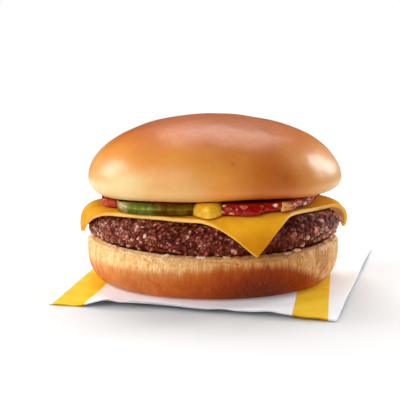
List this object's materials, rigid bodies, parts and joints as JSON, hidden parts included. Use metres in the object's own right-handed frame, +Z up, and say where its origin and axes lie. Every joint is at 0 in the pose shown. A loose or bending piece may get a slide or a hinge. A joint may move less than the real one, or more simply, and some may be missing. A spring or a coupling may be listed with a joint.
{
  "type": "cheeseburger",
  "caption": "Cheeseburger on a folded paper wrapper: round bun, beef patty, draped cheese slice, pickle, mustard, ketchup and diced onion.",
  "frame": {"origin": "on the bun's axis, at the underside of the wrapper, level with what it rests on", "axes": "+Z up the stack, from the wrapper to the top bun; -Y the front, where the cheese corner, pickle and mustard show; +X to the right of the front"},
  "size_m": [0.129, 0.126, 0.0645],
  "materials": {
    "paper": "matte",
    "bottom_crust": "satin",
    "beef": "matte",
    "cheese": "satin",
    "pickle": "gloss",
    "mustard": "gloss",
    "ketchup": "gloss",
    "top_crust": "satin"
  },
  "bodies": {
    "root": {"wrapper": "paper", "bottom_bun": "bottom_crust", "patty": "beef", "cheese": "cheese", "pickle": "pickle", "mustard": "mustard", "ketchup": "ketchup", "top_bun": "top_crust"}
  },
  "joints": []
}
